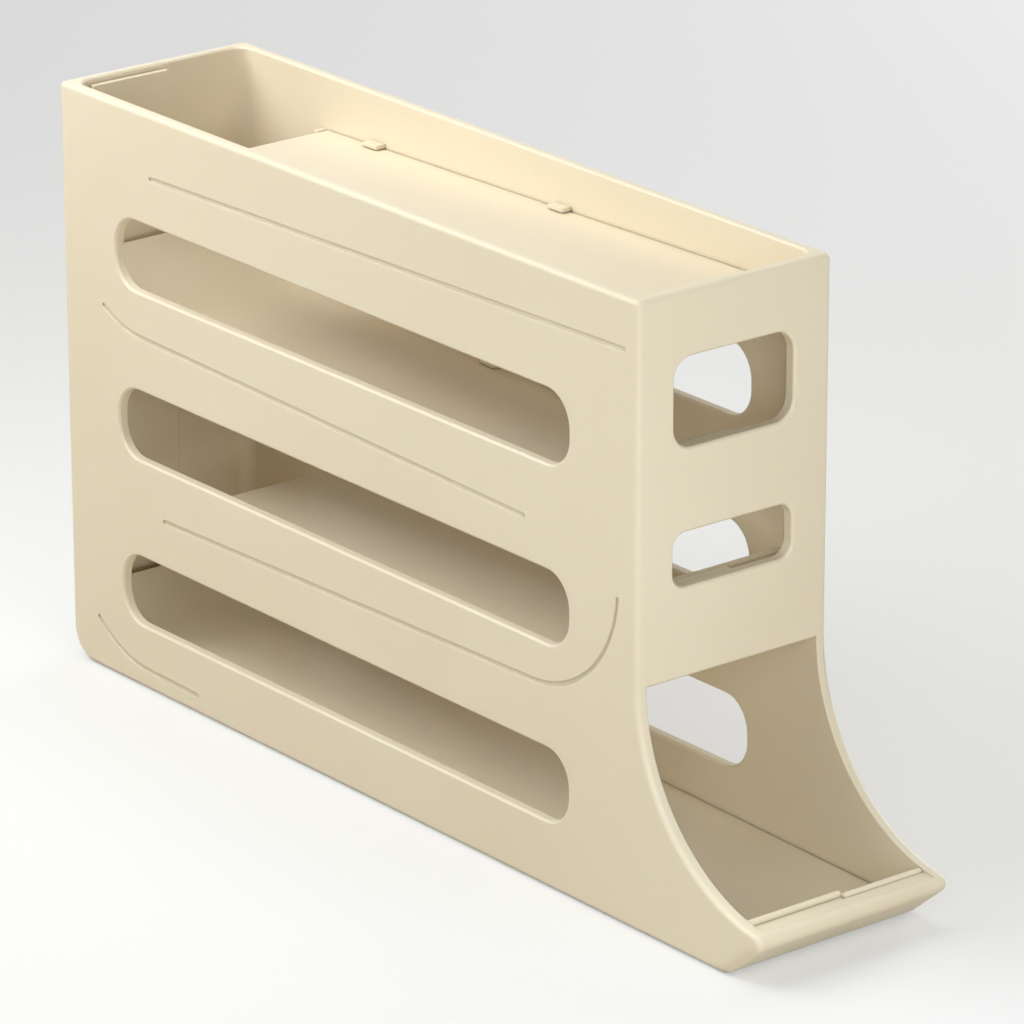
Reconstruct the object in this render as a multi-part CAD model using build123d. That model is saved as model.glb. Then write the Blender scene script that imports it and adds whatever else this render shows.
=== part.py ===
from build123d import *
from dataclasses import dataclass
from math import atan2, cos, radians, sin, tan
import os

# Egg holder: two moulded half shells meet on the plane X = 0 and hold four ramps between them.
# X is the width, Y the length with the mouth towards -Y, Z is up. All lengths are in millimetres.
# The origin is on the surface that the holder stands on, under the middle of its whole length.

# Case, overall
body_length = 382.0
body_width = 81.6
body_height = 217.0
lip_reach = 62.0
wall = 4.2
base_thickness = 3.0
edge_round = 1.8
inner_corner_round = 6.0
rear_corner_round = 12.0
cut_overrun = 1.0

# Mouth: cheeks, lip and the slanted nose below it
mouth_height = 84.4
cheek_top = 86.4
lip_height = 18.3
nose_height = 14.0
nose_depth = 16.5
nose_round = 3.0
lip_thickening = 3.2
foot_round = 8.0

# Side slots, one for each lower row
slot_count = 3
slot_height = 26.2
slot_round = 11.5
slot_setback = 35.0
slot_rear_setback = 32.2
top_slot_depth = 54.0
lowest_slot_height = 37.1
opening_chamfer = 0.7

# Front windows
window_side_margin = 15.5
upper_window_round = 7.5
lower_window_round = 5.5
upper_window_size = 31.0
upper_window_rise = 15.9
lower_window_size = 19.0
lower_window_rise = 25.1

# Lap that joins the two halves
lap_thickness = 2.4
lap_gap = 0.2
lap_root = 3.0
lap_round = 1.4
front_lap_step = 1.0
rear_lap_step = 2.3
rear_lap_foot = 16.0
nose_lap_step = 0.6
base_lap_width = 10.0
bead_radius = 0.8
bead_inset = 2.3
bead_end_inset = 6.0

# Ramp plates and what holds them
plate_thickness = 2.5
plate_clearance = 0.3
plate_corner_round = 3.0
plate_edge_round = 1.2
ramp_slope = 1.3
floor_slope = 1.0
bend_radius = 42.5
rail_thickness = 2.0
rail_width = 4.0
stop_length = 2.5
keeper_length = 8.0
keeper_thickness = 1.5
keeper_shares = (0.1, 0.5, 0.9)
rib_depth = 3.0
rib_thickness = 1.5
rib_spacing = 40.0
rib_end_inset = 12.0

# Places of the ramps. A share is of the slot pitch, down from the slot above the ramp to the
# middle of its plate where its bend starts.
top_ramp_depth = 15.3
top_drop = 50.0
second_ramp_share = 0.435
second_drop = 54.0
third_ramp_share = 0.405
third_drop = 54.0
rear_bend = 57.0
rear_bend_margin = 6.5
front_bend = 84.0
front_bend_margin = 7.0
floor_corner_round = 6.0
floor_knee_round = 1.5
floor_edge_rise = 1.2
floor_rail_setback = 60.4

# Grooves in the outer faces of the side walls, one along each ramp
groove_width = 1.6
groove_depth = 0.6
second_groove_bend = 30.0
floor_groove_bend = 42.0
floor_groove_run = 30.0

# Faces that follow from the sizes above
half_width = body_width / 2
inner_half = half_width - wall
rear_face = body_length / 2
lip_face = -body_length / 2
front_face = lip_face + lip_reach
foot = lip_face + nose_depth
front_inner = front_face + wall
rear_inner = rear_face - wall
nose_slope = atan2(nose_height, nose_depth)
lap_stack = lap_gap + lap_thickness
lap_end = inner_half - inner_corner_round
plate_half = inner_half - plate_clearance
rail_drop = (plate_thickness + rail_thickness) / 2
front_stop = front_inner + lap_stack + plate_clearance
slot_length = rear_face - slot_rear_setback - front_face - slot_setback
top_slot_height = body_height - top_slot_depth
slot_pitch = (top_slot_height - lowest_slot_height) / (slot_count - 1)
middle_slot_height = top_slot_height - slot_pitch
window_width = body_width - 2 * window_side_margin
upper_window_height = top_slot_height + upper_window_rise
lower_window_height = middle_slot_height + lower_window_rise
top_ramp_height = body_height - top_ramp_depth
second_ramp_height = top_slot_height - second_ramp_share * slot_pitch
third_ramp_height = middle_slot_height - third_ramp_share * slot_pitch


def across(section, x_from, x_to):
    """Solid with a section drawn in Y and Z, between two places in X."""
    return extrude(Plane.YZ.offset(x_from) * section, amount=x_to - x_from)


def mirrored(solid):
    """The solid together with its mirror image on the other side of the plane X = 0."""
    return solid + mirror(solid, about=Plane.YZ)


def block(x_range, y_range, z_range):
    """Box between two places along each axis."""
    size = [high - low for low, high in (x_range, y_range, z_range)]
    centre = [(high + low) / 2 for low, high in (x_range, y_range, z_range)]
    return Pos(*centre) * Box(*size)


@dataclass
class Track:
    """Middle line of a ramp: it runs downhill from (y, z), and bends upward the other way.

    heading is +1 where the bend is at the rear end, and -1 where it is at the front."""

    y: float
    z: float
    heading: int
    slope: float

    def uphill(self):
        angle = radians(self.slope)
        return Vector(self.heading * cos(angle), sin(angle))

    def start(self, below):
        angle = radians(self.slope)
        return Vector(self.y, self.z) + below * Vector(self.heading * sin(angle), -cos(angle))

    def straight(self, run, below=0.0):
        """The straight stretch, moved down square to itself by `below`."""
        return PolarLine(self.start(below), run, direction=-self.uphill())

    def bent(self, bend, below=0.0):
        """The bend, moved away from its centre by `below`."""
        return JernArc(self.start(below), self.uphill(), bend_radius + below, self.heading * bend)

    def lines(self, run, bend, below=0.0):
        if bend == 0:
            return self.straight(run, below)
        return self.straight(run, below) + self.bent(bend, below)


def downhill_run(track, low_end):
    """Length of the straight stretch from the track's start to a low end at low_end in Y."""
    return abs(track.y - low_end) / cos(radians(track.slope))


rear_bend_start = rear_inner - rear_bend_margin - bend_radius * sin(radians(rear_bend))
front_bend_start = front_inner + front_bend_margin + bend_radius * sin(radians(front_bend))
nose_plate_inset = wall + plate_clearance + plate_thickness / 2
floor_low = base_thickness + plate_thickness / 2

top_track = Track(front_stop, top_ramp_height, -1, ramp_slope)
second_track = Track(rear_bend_start, second_ramp_height, 1, ramp_slope)
third_track = Track(front_bend_start, third_ramp_height, -1, ramp_slope)
top_run = downhill_run(top_track, rear_inner - top_drop)
second_run = downhill_run(second_track, front_inner + second_drop)
third_run = downhill_run(third_track, rear_inner - third_drop)


def nose_place(inset, height):
    """Place in Y, at a height, on the slanted face of the nose moved inward by inset."""
    return lip_face + inset / sin(nose_slope) + (nose_height - height) / tan(nose_slope)


def nose_points(inset, top, bottom):
    """Points down the inside of the nose: upright behind the thick lip, then along the slant."""
    upright = lip_face + lip_thickening + inset
    knee = nose_height + inset * (1 - sin(nose_slope)) / cos(nose_slope) - lip_thickening * tan(nose_slope)
    return (upright, top), (upright, knee), (nose_place(inset, bottom), bottom)


floor_corner = nose_place(nose_plate_inset, floor_low)
floor_ramp_height = floor_low + (rear_bend_start - floor_corner) * tan(radians(floor_slope))
floor_track = Track(rear_bend_start, floor_ramp_height, 1, floor_slope)


def side_outline():
    """Outline of the case from the side."""
    back_and_nose = FilletPolyline(
        (rear_face, body_height),
        (rear_face, 0),
        (foot, 0),
        (lip_face, nose_height),
        (lip_face, lip_height),
        radius=[rear_corner_round, foot_round, nose_round],
    )
    cheek = TangentArc((front_face, cheek_top), (lip_face, lip_height), tangent=(0, -1))
    front_and_rim = Polyline((front_face, cheek_top), (front_face, body_height), (rear_face, body_height))
    outline = make_face([back_and_nose, cheek, front_and_rim])
    tip = outline.vertices().sort_by_distance((lip_face, lip_height))[0]
    return fillet(tip, nose_round)


def well():
    """Hollow between the front and rear walls, open at the top, with a round rear floor corner."""
    top = body_height + cut_overrun
    hollow = block((-inner_half, inner_half), (front_inner, rear_inner), (base_thickness, top))
    hollow = fillet(hollow.edges().filter_by(Axis.Z), inner_corner_round)
    radius = rear_corner_round - wall
    corner = Pos(rear_inner, base_thickness) * Rectangle(radius, radius, align=(Align.MAX, Align.MIN))
    corner -= Pos(rear_inner - radius, base_thickness + radius) * Circle(radius)
    return hollow - across(corner, -half_width, half_width)


def mouth():
    """Hollow between the cheeks, open to the front below the front wall."""
    back = front_inner + inner_corner_round
    outside = lip_face - cut_overrun
    inside_nose = nose_points(wall, lip_height, base_thickness)
    edge = Polyline(
        (back, base_thickness),
        (back, mouth_height),
        (outside, mouth_height),
        (outside, lip_height),
        *inside_nose,
        close=True,
    )
    return across(make_face(edge), -inner_half, inner_half)


def front_openings():
    """The two windows of the front wall, long enough to pass through its lap as well."""
    behind = front_inner + lap_stack + cut_overrun
    depth = behind - front_face + cut_overrun
    upper = RectangleRounded(window_width, upper_window_size, upper_window_round)
    lower = RectangleRounded(window_width, lower_window_size, lower_window_round)
    windows = Pos(0, upper_window_height) * upper + Pos(0, lower_window_height) * lower
    return extrude(Plane.XZ.offset(-behind) * windows, amount=depth)


def side_slots():
    """Three long slots through both side walls."""
    middle = front_face + slot_setback + slot_length / 2
    slot = RectangleRounded(slot_length, slot_height, slot_round)
    heights = [lowest_slot_height + tier * slot_pitch for tier in range(slot_count)]
    slots = Sketch() + [Pos(middle, height) * slot for height in heights]
    return across(slots, -half_width - cut_overrun, half_width + cut_overrun)


def grooves():
    """Shallow grooves outside both side walls, along the rails inside."""
    pen = Circle(groove_width / 2)
    lines = [
        top_track.lines(top_run, 0, rail_drop),
        second_track.lines(second_run, second_groove_bend, rail_drop),
        third_track.lines(third_run, front_bend, rail_drop),
        floor_track.lines(floor_groove_run, floor_groove_bend, rail_drop),
    ]
    cut = Sketch()
    for line in lines:
        cut += trace(line, groove_width)
        ends = line.vertices().sort_by(Axis.X)
        cut += [Pos(end.X, end.Y) * pen for end in (ends[0], ends[-1])]
    outside = half_width + cut_overrun
    return mirrored(across(cut, half_width - groove_depth, outside))


def side_lug(section):
    """A section carried inward from both side walls by the width of a rail."""
    return mirrored(across(section, inner_half - rail_width, inner_half))


def rail(track, run, bend):
    """Rails under both edges of a ramp, with a stop past its low edge."""
    past = plate_clearance + stop_length
    line = track.lines(run + past, bend, rail_drop)
    low_end = track.straight(run + plate_clearance + stop_length / 2, rail_drop) @ 1
    upward = Vector(-track.heading * sin(radians(track.slope)), cos(radians(track.slope)))
    stop = PolarLine(low_end, rail_drop + plate_thickness / 2, direction=upward)
    return side_lug(trace(line, rail_thickness) + trace(stop, stop_length))


def keepers(track, run):
    """Short lugs over both edges of a ramp, so that it cannot lift off its rails."""
    lift = plate_thickness / 2 + plate_clearance + keeper_thickness / 2
    line = track.straight(run, -lift)
    ways = [line @ share for share in keeper_shares]
    lugs = [PolarLine(way, keeper_length, direction=track.uphill()) for way in ways]
    return side_lug(Sketch() + [trace(lug, keeper_thickness) for lug in lugs])


def floor_rail():
    """Rails that lift the rear of the floor ramp off the base."""
    run = downhill_run(floor_track, front_face + floor_rail_setback)
    line = floor_track.lines(run, floor_groove_bend, rail_drop)
    return side_lug(trace(line, rail_thickness))


def flat_face(solid, axis, place):
    """Largest flat face of a solid that is square to an axis at a place along it."""
    faces = solid.faces().filter_by(axis)
    there = [face for face in faces if abs(face.center().dot(axis.direction) - place) < wall / 2]
    return max(there, key=lambda face: face.area)


def opening_edges(solid):
    """Edges of the slots, windows, rim and front wall that a hand or an egg meets."""
    walls = [flat_face(solid, Axis.X, x) for x in (-half_width, -inner_half, inner_half, half_width)]
    walls += [flat_face(solid, Axis.Y, front_face), flat_face(solid, Axis.Z, body_height)]
    edges = [edge for face in walls for wire in face.inner_wires() for edge in wire.edges()]
    lower_edge = (0, front_face, mouth_height)
    return edges + [solid.edges().filter_by(Axis.X).sort_by_distance(lower_edge)[0]]


def case():
    """Both halves of the case in one, before it is parted on the plane X = 0."""
    solid = across(side_outline(), -half_width, half_width)
    sides = solid.faces().sort_by(Axis.X)
    top_edges = solid.edges().filter_by(Axis.X).group_by(Axis.Z)[-1]
    solid = fillet([*sides[0].edges(), *sides[-1].edges(), *top_edges], edge_round)
    solid -= well()
    solid -= mouth()
    solid -= side_slots()
    solid -= front_openings()
    solid = chamfer(opening_edges(solid), opening_chamfer)
    solid += rail(top_track, top_run, 0)
    solid += rail(second_track, second_run, second_groove_bend)
    solid += rail(third_track, third_run, front_bend)
    solid += floor_rail()
    for track, run in ((top_track, top_run), (second_track, second_run), (third_track, third_run)):
        solid += keepers(track, run)
    return solid - grooves()


def bead(radius, y, low, high):
    """Upright round bead of the snap joint, or the groove that takes it."""
    x = bead_inset - lap_end
    return Pos(x, y, low) * Cylinder(radius, high - low, align=(Align.CENTER, Align.CENTER, Align.MIN))


def snap(radius):
    """The beads of the front and rear laps."""
    front = bead(radius, front_inner + lap_gap, mouth_height + bead_end_inset, body_height - bead_end_inset)
    rear_low = rear_lap_foot + bead_end_inset
    rear = bead(radius, rear_inner - lap_gap, rear_low, body_height - rear_lap_step - bead_end_inset)
    return front + rear


def upright_lap(inner, inward, low, high):
    """Tongue along an upright wall, whose inner face is at inner and whose inside is towards inward."""
    face = inner + inward * lap_gap
    back = inner + inward * lap_stack
    tongue = block((-lap_end, lap_root), sorted((face, back)), (low, high))
    root = block((0, lap_root), sorted((inner, back)), (low, high))
    lap = tongue + root
    corners = lap.edges().filter_by(Axis.Y).group_by(Axis.Z)[-1]
    return fillet(corners.sort_by(Axis.X)[-1], lap_round)


def nose_lap():
    """Tongue behind the nose, from cheek to seam, cut flat above the base."""
    top = lip_height - nose_lap_step
    thin = Polyline(*nose_points(wall + lap_gap + lap_thickness / 2, top, 0))
    thick = Polyline(*nose_points(wall + lap_stack / 2, top, 0))
    tongue = across(trace(thin, lap_thickness), lap_gap - inner_half, lap_root)
    tongue += across(trace(thick, lap_stack), 0, lap_root)
    foot_cut = block((-half_width, half_width), (lip_face, front_face), (-wall, base_thickness + lap_gap))
    return tongue - foot_cut


def base_lap(width, low):
    """Flat strip of the base that reaches over the seam, or the pocket that takes it."""
    return block((-width, 0), (foot + foot_round, rear_face - 2 * rear_corner_round), (low, base_thickness))


def left_shell(whole):
    half = split(whole, bisect_by=Plane.YZ, keep=Keep.BOTTOM)
    half -= snap(bead_radius + lap_gap)
    return half - base_lap(base_lap_width + lap_gap, base_thickness / 2)


def right_shell(whole):
    half = split(whole, bisect_by=Plane.YZ, keep=Keep.TOP)
    front = upright_lap(front_inner, 1, mouth_height + front_lap_step, body_height - front_lap_step)
    rear = upright_lap(rear_inner, -1, rear_lap_foot, body_height - rear_lap_step)
    laps = front + rear + nose_lap() + snap(bead_radius) - front_openings()
    return half + laps + base_lap(base_lap_width, base_thickness / 2 + lap_gap)


def round_low_edge(plate, heading):
    """Round both long edges of a plate's low end, where the eggs roll off."""
    ends = plate.edges().filter_by(Axis.X).sort_by(Axis.Y)
    low = ends[:2] if heading > 0 else ends[-2:]
    return fillet(low, plate_edge_round)


def ramp(track, run, bend):
    """A ramp plate with two stiffening ribs under its straight stretch."""
    plate = across(trace(track.lines(run, bend), plate_thickness), -plate_half, plate_half)
    plate = round_low_edge(plate, track.heading)
    middle = track.straight(run, (plate_thickness + rib_depth) / 2)
    rib_run = run - 2 * rib_end_inset
    rib_line = PolarLine(middle @ (rib_end_inset / run), rib_run, direction=-track.uphill())
    for x in (-rib_spacing / 2, rib_spacing / 2):
        plate += across(trace(rib_line, rib_depth), x - rib_thickness / 2, x + rib_thickness / 2)
    return plate


def top_ramp():
    plate = ramp(top_track, top_run, 0)
    corners = plate.edges().filter_by(lambda edge: edge.length < 2 * plate_thickness)
    front = [edge for edge in corners if abs(edge.center().X) > plate_half - plate_edge_round]
    uphill = sorted(front, key=lambda edge: edge.center().Y)[:2]
    return fillet(uphill, plate_corner_round)


def floor_section(inset):
    """Section of the floor ramp: turned up behind the lip, flat over the base, bent up at the rear."""
    height = floor_low + (nose_place(inset, floor_low) - floor_corner) * tan(radians(floor_slope))
    top = lip_height + floor_edge_rise - plate_thickness / 2
    edge, knee, corner = nose_points(inset, top, height)
    bend_start = floor_track.start(0)
    line = FilletPolyline(
        edge,
        knee,
        corner,
        (bend_start.X, bend_start.Y),
        radius=[floor_knee_round, floor_corner_round],
    )
    line += floor_track.bent(rear_bend)
    return trace(line, plate_thickness) + Pos(*edge) * Circle(plate_thickness / 2)


def floor_ramp():
    """The floor ramp, whose turned up edge stands further in on the half with the lap."""
    step = lap_root + plate_clearance
    near_inset = nose_plate_inset + lap_stack
    near, far = floor_section(near_inset), floor_section(nose_plate_inset)
    join = nose_place(near_inset, floor_low) + floor_corner_round
    ahead = Pos(join, 0) * Rectangle(body_length, body_height, align=(Align.MAX, Align.CENTER))
    plate = across(far - ahead, -plate_half, plate_half)
    return plate + across(near & ahead, -plate_half, step) + across(far & ahead, step, plate_half)


whole = case()
parts = {
    "left_shell": left_shell(whole),
    "right_shell": right_shell(whole),
    "top_ramp": top_ramp(),
    "second_ramp": ramp(second_track, second_run, rear_bend),
    "third_ramp": ramp(third_track, third_run, front_bend),
    "floor_ramp": floor_ramp(),
}

os.makedirs("parts", exist_ok=True)
for name, shape in parts.items():
    export_step(shape, f"parts/{name}.step")
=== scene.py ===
import math

import bpy
from mathutils import Matrix, Vector


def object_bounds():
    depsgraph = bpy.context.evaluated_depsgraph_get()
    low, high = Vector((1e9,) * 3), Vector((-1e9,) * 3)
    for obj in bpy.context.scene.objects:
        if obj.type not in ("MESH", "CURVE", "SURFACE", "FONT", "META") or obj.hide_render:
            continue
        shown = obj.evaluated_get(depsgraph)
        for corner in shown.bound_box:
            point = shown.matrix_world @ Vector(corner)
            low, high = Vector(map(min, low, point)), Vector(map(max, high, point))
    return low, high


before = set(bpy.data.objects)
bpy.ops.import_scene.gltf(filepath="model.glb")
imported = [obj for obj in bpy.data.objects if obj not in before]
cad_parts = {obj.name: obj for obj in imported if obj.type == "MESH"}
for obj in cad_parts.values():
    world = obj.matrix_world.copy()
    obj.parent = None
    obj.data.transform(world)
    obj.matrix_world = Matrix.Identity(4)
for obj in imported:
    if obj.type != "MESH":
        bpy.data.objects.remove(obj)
cad_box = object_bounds()

# Lengths are in metres, angles in degrees, and colours in linear light.
UNIT = (0.0, 1.0)
WHITE = (1.0, 1.0, 1.0, 1.0)

# Camera, fitted to the edges of the case in the photograph. Only the sensor is in millimetres.
# The camera looks level at LEVEL_TILT and sees as far as CAMERA_REACH.
IMAGE_SIDE = 1024
SENSOR_WIDTH = 36.0
FOCAL_PIXELS = 6409.0
CAMERA_PLACE = Vector((-1.2735, -1.6090, 0.8550))
CAMERA_TURN = -38.60
CAMERA_HEIGHT_ANGLE = 20.20
CAMERA_ROLL = -0.11
CAMERA_REACH = 50.0
LEVEL_TILT = 90.0

# Lamps. Each has the direction and the distance of its place from the middle of the object, the
# length of its side, its power in watts and its colour.
LAMPS = (
    ("rear_left", (-0.75, 0.45, 0.80), 0.80, 0.6, 3.1, (0.95, 0.99, 1.00)),
    ("rear_near", (-0.45, 0.55, 0.65), 0.65, 0.4, 1.4, (1.00, 0.99, 0.97)),
    ("side_low", (-1.00, 0.10, 0.20), 1.20, 0.7, 0.5, (1.00, 0.90, 0.72)),
    ("top", (0.10, 0.10, 1.00), 1.00, 0.8, 3.6, (1.00, 0.99, 0.92)),
    ("front_left", (-0.45, -0.90, 0.30), 0.55, 0.3, 0.8, (0.90, 0.97, 1.00)),
    ("front_low", (-0.15, -1.00, 0.10), 0.90, 0.5, 2.5, (0.95, 0.98, 1.00)),
    ("right_fill", (1.00, 0.25, 0.22), 1.60, 1.0, 11.0, (0.98, 0.99, 1.00)),
)

# Strength of the world: as light on the object, and as seen by the camera and in reflections
WORLD_LIGHT = 0.08
WORLD_SEEN = 0.85

# Floor. It lies just below the object, and rays shorter than BASE_RAY, which only come from the
# object's base, pass through it. It shows grey with a glow near the object and fades into the
# world over FLOOR_FADE, a pair of distances. The light that it bounces has the bounce colour.
FLOOR_SIZE = 14.0
FLOOR_DROP = 0.0002
BASE_RAY = 0.002
FLOOR_FADE = (0.5, 2.2)
FLOOR_GLOW = 0.35
FLOOR_ROUGHNESS = 0.9
FLOOR_GREY = (0.55, 0.55, 0.545, 1.0)
FLOOR_FAR = (0.03, 0.03, 0.03, 1.0)
FLOOR_BOUNCE = (0.53, 0.47, 0.36, 1.0)

# Colours of the plastic: two that form clouds, a painted highlight along edges and a painted shade in
# crevices
CREAM = (0.858, 0.770, 0.600, 1.0)
CREAM_DEEP = (0.828, 0.728, 0.552, 1.0)
CREAM_PAINTED_HIGHLIGHT = (0.900, 0.830, 0.680, 1.0)
CREAM_PAINTED_SHADE = (0.560, 0.470, 0.330, 1.0)

# How light enters the plastic and scatters in it, more deeply for red than for blue
REFRACTION = 1.49
SCATTER_SHARE = 0.12
SCATTER_DEPTH = 0.003
SCATTER_REACH = (1.0, 0.62, 0.35)

# Patterns of the plastic, each with its scale per metre, its detail and its roughness
CLOUDS = (9.0, 3.0, 0.50)
SPECKLES = (420.0, 2.0, 0.60)
GRAIN = (2600.0, 2.0, 0.55)
WAVES = (14.0, 2.0, 0.45)

# The ramps take their patterns from another place than the shells.
SHELL_SHIFT = (0.0, 0.0, 0.0)
RAMP_SHIFT = (3.1, 1.7, 0.4)

# What the patterns do: the range of each that matters, and how strongly it shows
CLOUD_TONE_RANGE = (0.30, 0.70)
SPECKLE_RANGE = (0.62, 0.80)
SPECKLE_STRENGTH = 0.22
CLOUD_GLOSS_RANGE = (0.25, 0.75)
ROUGHNESS = (0.38, 0.50)
GRAIN_STRENGTH = 0.16
GRAIN_HEIGHT = 0.00012
WAVE_STRENGTH = 0.10
WAVE_HEIGHT = 0.004

# Edges, which get a painted highlight and a little polish. A point is on an edge where the faces within
# EDGE_REACH
# turn away from its own face: the cosines of that turn run from a full edge to a flat face.
EDGE_REACH = 0.0012
EDGE_COSINES = (0.80, 0.995)
EDGE_SAMPLES = 6
PAINTED_HIGHLIGHT_STRENGTH = 0.35
EDGE_POLISH = 0.10

# Painted shade in crevices. The walls within CREVICE_REACH darken the colour of a point: its open share
# of directions runs from the deepest crevice to none.
CREVICE_REACH = 0.0016
CREVICE_OPEN_SHARES = (0.35, 0.90)
CREVICE_SAMPLES = 4
PAINTED_SHADE_STRENGTH = 0.75

# Radius that softens edges, and the larger one at the corners of the nose. The nose fades in from
# the first to the second distance, behind the front of the object and above its base.
EDGE_SOFTENING = 0.0006
NOSE_SOFTENING = 0.0060
NOSE_DEPTHS = (0.026, 0.016)
NOSE_HEIGHTS = (0.016, 0.011)
SOFTENING_SAMPLES = 8

# Distances from the parting line of the halves, X = 0, over which the edges fade in
SEAM_FADE = (0.0005, 0.0016)


def feed(tree, socket, value):
    """Gives an input its value: the output of another node, or a constant."""
    if isinstance(value, bpy.types.NodeSocket):
        tree.links.new(value, socket)
    else:
        socket.default_value = value


def node(tree, kind, **values):
    """Adds a shader node. Each value sets the property, or feeds the input, that has its name."""
    made = tree.nodes.new(kind)
    for name, value in values.items():
        if hasattr(made, name):
            setattr(made, name, value)
        else:
            feed(tree, made.inputs[name.replace("_", " ")], value)
    return made


def compute(tree, operation, *terms, kind="ShaderNodeMath"):
    """Number that a mathematical operation makes of its terms, each an output or a constant."""
    made = node(tree, kind, operation=operation)
    for socket, term in zip(made.inputs, terms):
        feed(tree, socket, term)
    return made.outputs["Value"]


def remap(tree, value, source, target=UNIT):
    """Moves a value from one range to another, and holds it there."""
    made = node(
        tree,
        "ShaderNodeMapRange",
        Value=value,
        From_Min=source[0],
        From_Max=source[1],
        To_Min=target[0],
        To_Max=target[1],
    )
    return made.outputs["Result"]


def mix_colour(tree, factor, first, second):
    """Mixes two colours, each an output or a constant, by a factor."""
    made = node(tree, "ShaderNodeMix", data_type="RGBA", Factor=factor)
    colours = [socket for socket in made.inputs if socket.type == "RGBA"]
    for socket, colour in zip(colours, (first, second)):
        feed(tree, socket, colour)
    return next(socket for socket in made.outputs if socket.type == "RGBA")


def noise(tree, place, scale, detail, roughness):
    made = node(tree, "ShaderNodeTexNoise", Vector=place, Scale=scale, Detail=detail, Roughness=roughness)
    return made.outputs["Fac"]


def axis(tree, place, name):
    """One coordinate of a place."""
    return node(tree, "ShaderNodeSeparateXYZ", Vector=place).outputs[name]


def new_material(name):
    """A material, its node tree and its surface shader."""
    material = bpy.data.materials.new(name)
    material.use_nodes = True
    tree = material.node_tree
    return material, tree, tree.nodes["Principled BSDF"]


def off_seam(tree, place):
    """0 on the parting line X = 0, 1 away from it."""
    distance = compute(tree, "ABSOLUTE", axis(tree, place, "X"))
    return remap(tree, distance, SEAM_FADE)


def edge_mask(tree):
    """1 along convex and concave edges, 0 on flat faces."""
    around = node(tree, "ShaderNodeBevel", samples=EDGE_SAMPLES, Radius=EDGE_REACH)
    own = node(tree, "ShaderNodeNewGeometry")
    normals = (around.outputs["Normal"], own.outputs["Normal"])
    cosine = compute(tree, "DOT_PRODUCT", *normals, kind="ShaderNodeVectorMath")
    return remap(tree, cosine, EDGE_COSINES, (1.0, 0.0))


def painted_shade_mask(tree):
    """Strength of the painted shade in crevices: 0 on open faces, and more the nearer the walls around.
    """
    around = node(
        tree,
        "ShaderNodeAmbientOcclusion",
        samples=CREVICE_SAMPLES,
        Distance=CREVICE_REACH,
    )
    return remap(tree, around.outputs["AO"], CREVICE_OPEN_SHARES, (PAINTED_SHADE_STRENGTH, 0.0))


def softening(tree, place, off):
    """Radius that softens edges: none on the parting line, larger at the corners of the nose."""
    front = cad_box[0].y
    base = cad_box[0].z
    ahead = remap(tree, axis(tree, place, "Y"), [front + depth for depth in NOSE_DEPTHS])
    low = remap(tree, axis(tree, place, "Z"), [base + height for height in NOSE_HEIGHTS])
    nose = compute(tree, "MULTIPLY", ahead, low)
    radius = remap(tree, nose, UNIT, (EDGE_SOFTENING, NOSE_SOFTENING))
    return compute(tree, "MULTIPLY", radius, off)


def plastic_tone(tree, pattern, clouds, edges):
    """Cream in faint clouds and speckles, with a painted highlight along edges and painted shade in
    crevices.
    """
    tone = mix_colour(tree, remap(tree, clouds, CLOUD_TONE_RANGE), CREAM, CREAM_DEEP)
    speckles = noise(tree, pattern, *SPECKLES)
    speckled = remap(tree, speckles, SPECKLE_RANGE, (0.0, SPECKLE_STRENGTH))
    tone = mix_colour(tree, speckled, tone, CREAM_DEEP)
    # Painted highlight along edges, faded out at the parting line
    tone = mix_colour(tree, compute(tree, "MULTIPLY", edges, PAINTED_HIGHLIGHT_STRENGTH), tone, CREAM_PAINTED_HIGHLIGHT)
    # Painted shade in crevices, grooves and concave joints
    return mix_colour(tree, painted_shade_mask(tree), tone, CREAM_PAINTED_SHADE)


def plastic_roughness(tree, clouds, edges):
    """Satin in faint clouds, and a little smoother along edges."""
    roughness = remap(tree, clouds, CLOUD_GLOSS_RANGE, ROUGHNESS)
    return compute(tree, "MULTIPLY_ADD", edges, -EDGE_POLISH, roughness)


def plastic_relief(tree, place, pattern, off):
    """Softened edges, under the slow waves of a moulded wall and a fine grain."""
    rounded = node(
        tree,
        "ShaderNodeBevel",
        samples=SOFTENING_SAMPLES,
        Radius=softening(tree, place, off),
    )
    waved = node(
        tree,
        "ShaderNodeBump",
        Strength=WAVE_STRENGTH,
        Distance=WAVE_HEIGHT,
        Height=noise(tree, pattern, *WAVES),
        Normal=rounded.outputs["Normal"],
    )
    grained = node(
        tree,
        "ShaderNodeBump",
        Strength=GRAIN_STRENGTH,
        Distance=GRAIN_HEIGHT,
        Height=noise(tree, pattern, *GRAIN),
        Normal=waved.outputs["Normal"],
    )
    return grained.outputs["Normal"]


def moulded_plastic(name, shift):
    """Satin cream plastic, whose patterns are moved by a shift."""
    material, tree, shader = new_material(name)
    place = node(tree, "ShaderNodeTexCoord").outputs["Object"]
    pattern = node(tree, "ShaderNodeMapping", Vector=place, Location=shift).outputs["Vector"]
    clouds = noise(tree, pattern, *CLOUDS)
    off = off_seam(tree, place)
    edges = compute(tree, "MULTIPLY", edge_mask(tree), off)
    surface = {
        "Base Color": plastic_tone(tree, pattern, clouds, edges),
        "Roughness": plastic_roughness(tree, clouds, edges),
        "Normal": plastic_relief(tree, place, pattern, off),
        "IOR": REFRACTION,
        "Subsurface Weight": SCATTER_SHARE,
        "Subsurface Radius": SCATTER_REACH,
        "Subsurface Scale": SCATTER_DEPTH,
    }
    for name_of_input, value in surface.items():
        feed(tree, shader.inputs[name_of_input], value)
    return material


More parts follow.
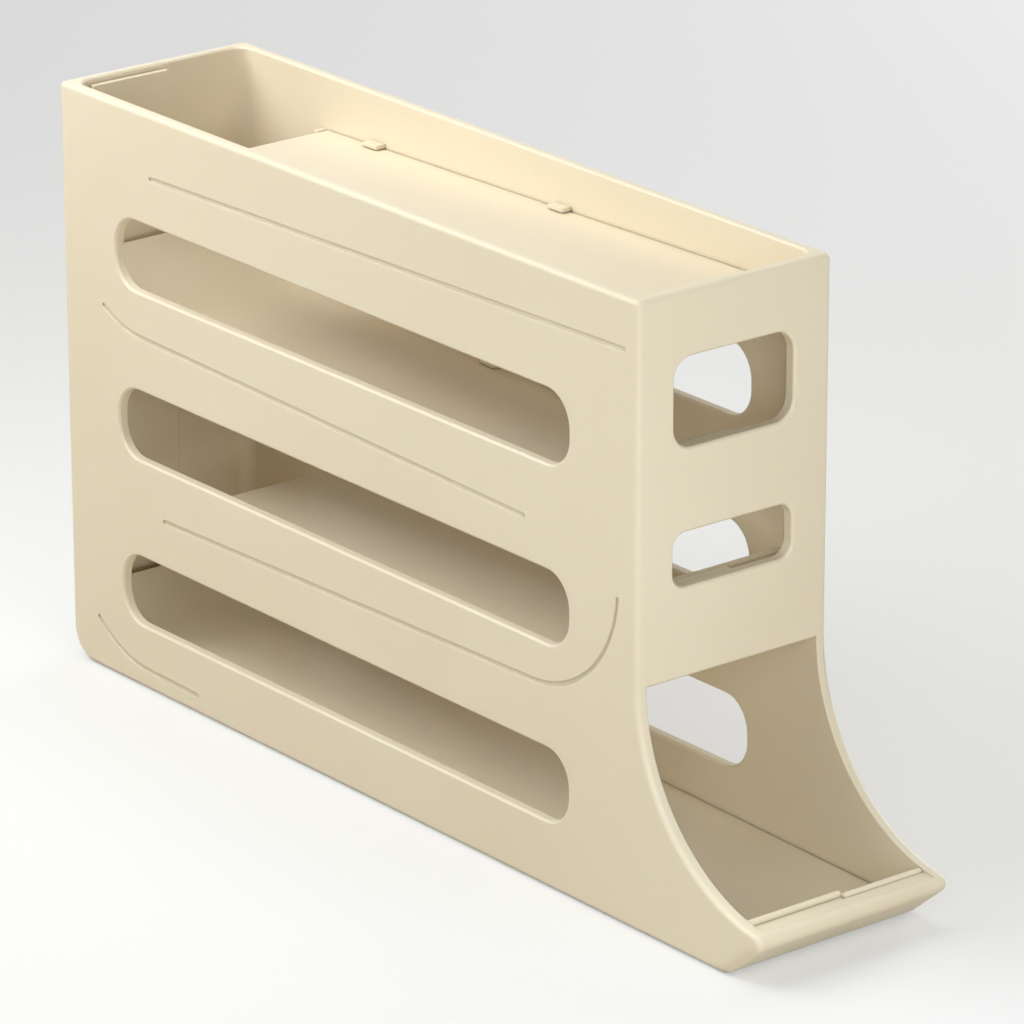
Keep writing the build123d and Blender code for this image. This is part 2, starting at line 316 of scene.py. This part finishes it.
def dress():
    """Gives each piece of the frame its material."""
    shell = moulded_plastic("shell_plastic", SHELL_SHIFT)
    ramp = moulded_plastic("ramp_plastic", RAMP_SHIFT)
    for name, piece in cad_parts.items():
        material = ramp if name.endswith("ramp") else shell
        piece.data.materials.clear()
        piece.data.materials.append(material)


def pale_ray(tree):
    """1 for rays from the camera, a reflection or a transmission; 0 for light that bounces."""
    rays = node(tree, "ShaderNodeLightPath").outputs
    seen = compute(tree, "MAXIMUM", rays["Is Camera Ray"], rays["Is Glossy Ray"])
    return compute(tree, "MAXIMUM", seen, rays["Is Transmission Ray"])


def from_below(tree):
    """1 where the floor is met from below, or by a ray that has only just left the object's base."""
    behind = node(tree, "ShaderNodeNewGeometry").outputs["Backfacing"]
    length = node(tree, "ShaderNodeLightPath").outputs["Ray Length"]
    return compute(tree, "MAXIMUM", behind, compute(tree, "LESS_THAN", length, BASE_RAY))


def far_away(tree):
    """0 on the floor around the object, 1 far from it."""
    place = node(tree, "ShaderNodeTexCoord").outputs["Object"]
    distance = compute(tree, "LENGTH", place, kind="ShaderNodeVectorMath")
    return remap(tree, distance, FLOOR_FADE)


def floor_surface():
    """Pale matt surface, which bounces less light than it shows and is clear from below."""
    material, tree, shader = new_material("floor")
    seen = pale_ray(tree)
    far = far_away(tree)
    grey = mix_colour(tree, far, FLOOR_GREY, FLOOR_FAR)
    glow = remap(tree, far, UNIT, (FLOOR_GLOW, WORLD_SEEN))
    surface = {
        "Base Color": mix_colour(tree, seen, FLOOR_BOUNCE, grey),
        "Emission Strength": compute(tree, "MULTIPLY", seen, glow),
        "Emission Color": WHITE,
        "Roughness": FLOOR_ROUGHNESS,
    }
    for name_of_input, value in surface.items():
        feed(tree, shader.inputs[name_of_input], value)
    clear = node(tree, "ShaderNodeBsdfTransparent")
    cover = node(tree, "ShaderNodeMixShader", Fac=from_below(tree))
    tree.links.new(shader.outputs["BSDF"], cover.inputs[1])
    tree.links.new(clear.outputs["BSDF"], cover.inputs[2])
    tree.links.new(cover.outputs["Shader"], tree.nodes["Material Output"].inputs["Surface"])
    return material


def floor():
    """Wide floor under the object."""
    mesh = bpy.data.meshes.new("floor")
    half = FLOOR_SIZE / 2
    corners = [(-half, -half), (half, -half), (half, half), (-half, half)]
    mesh.from_pydata([(x, y, -FLOOR_DROP) for x, y in corners], [], [(0, 1, 2, 3)])
    mesh.materials.append(floor_surface())
    piece = bpy.data.objects.new("floor", mesh)
    bpy.context.collection.objects.link(piece)


def lamp(name, direction, distance, size, power, colour):
    """Square soft light that faces the middle of the object from a direction and a distance."""
    low, high = cad_box
    target = (low + high) / 2
    data = bpy.data.lights.new(name, "AREA")
    data.shape = "SQUARE"
    data.size = size
    data.energy = power
    data.color = colour
    piece = bpy.data.objects.new(name, data)
    piece.location = target + Vector(direction).normalized() * distance
    piece.rotation_euler = (target - piece.location).to_track_quat("-Z", "Y").to_euler()
    bpy.context.collection.objects.link(piece)


def studio_world():
    """White world that lights the object faintly and shows pale."""
    world = bpy.data.worlds.new("studio")
    world.use_nodes = True
    tree = world.node_tree
    background = tree.nodes["Background"]
    feed(tree, background.inputs["Color"], WHITE)
    strength = remap(tree, pale_ray(tree), UNIT, (WORLD_LIGHT, WORLD_SEEN))
    feed(tree, background.inputs["Strength"], strength)
    bpy.context.scene.world = world


def rotation(angle, about):
    """Matrix that turns about an axis by an angle in degrees."""
    return Matrix.Rotation(math.radians(angle), 4, about)


def camera():
    """Camera of the photograph. Untilted, it looks straight down."""
    data = bpy.data.cameras.new("camera")
    data.sensor_width = SENSOR_WIDTH
    data.lens = SENSOR_WIDTH * FOCAL_PIXELS / IMAGE_SIDE
    data.clip_end = CAMERA_REACH
    piece = bpy.data.objects.new("camera", data)
    turn = rotation(CAMERA_TURN, "Z")
    tilt = rotation(LEVEL_TILT - CAMERA_HEIGHT_ANGLE, "X")
    roll = rotation(CAMERA_ROLL, "Z")
    piece.matrix_world = Matrix.Translation(CAMERA_PLACE) @ turn @ tilt @ roll
    bpy.context.collection.objects.link(piece)
    bpy.context.scene.camera = piece


dress()
floor()
for values in LAMPS:
    lamp(*values)
studio_world()
camera()
bpy.context.scene.view_settings.view_transform = "Standard"
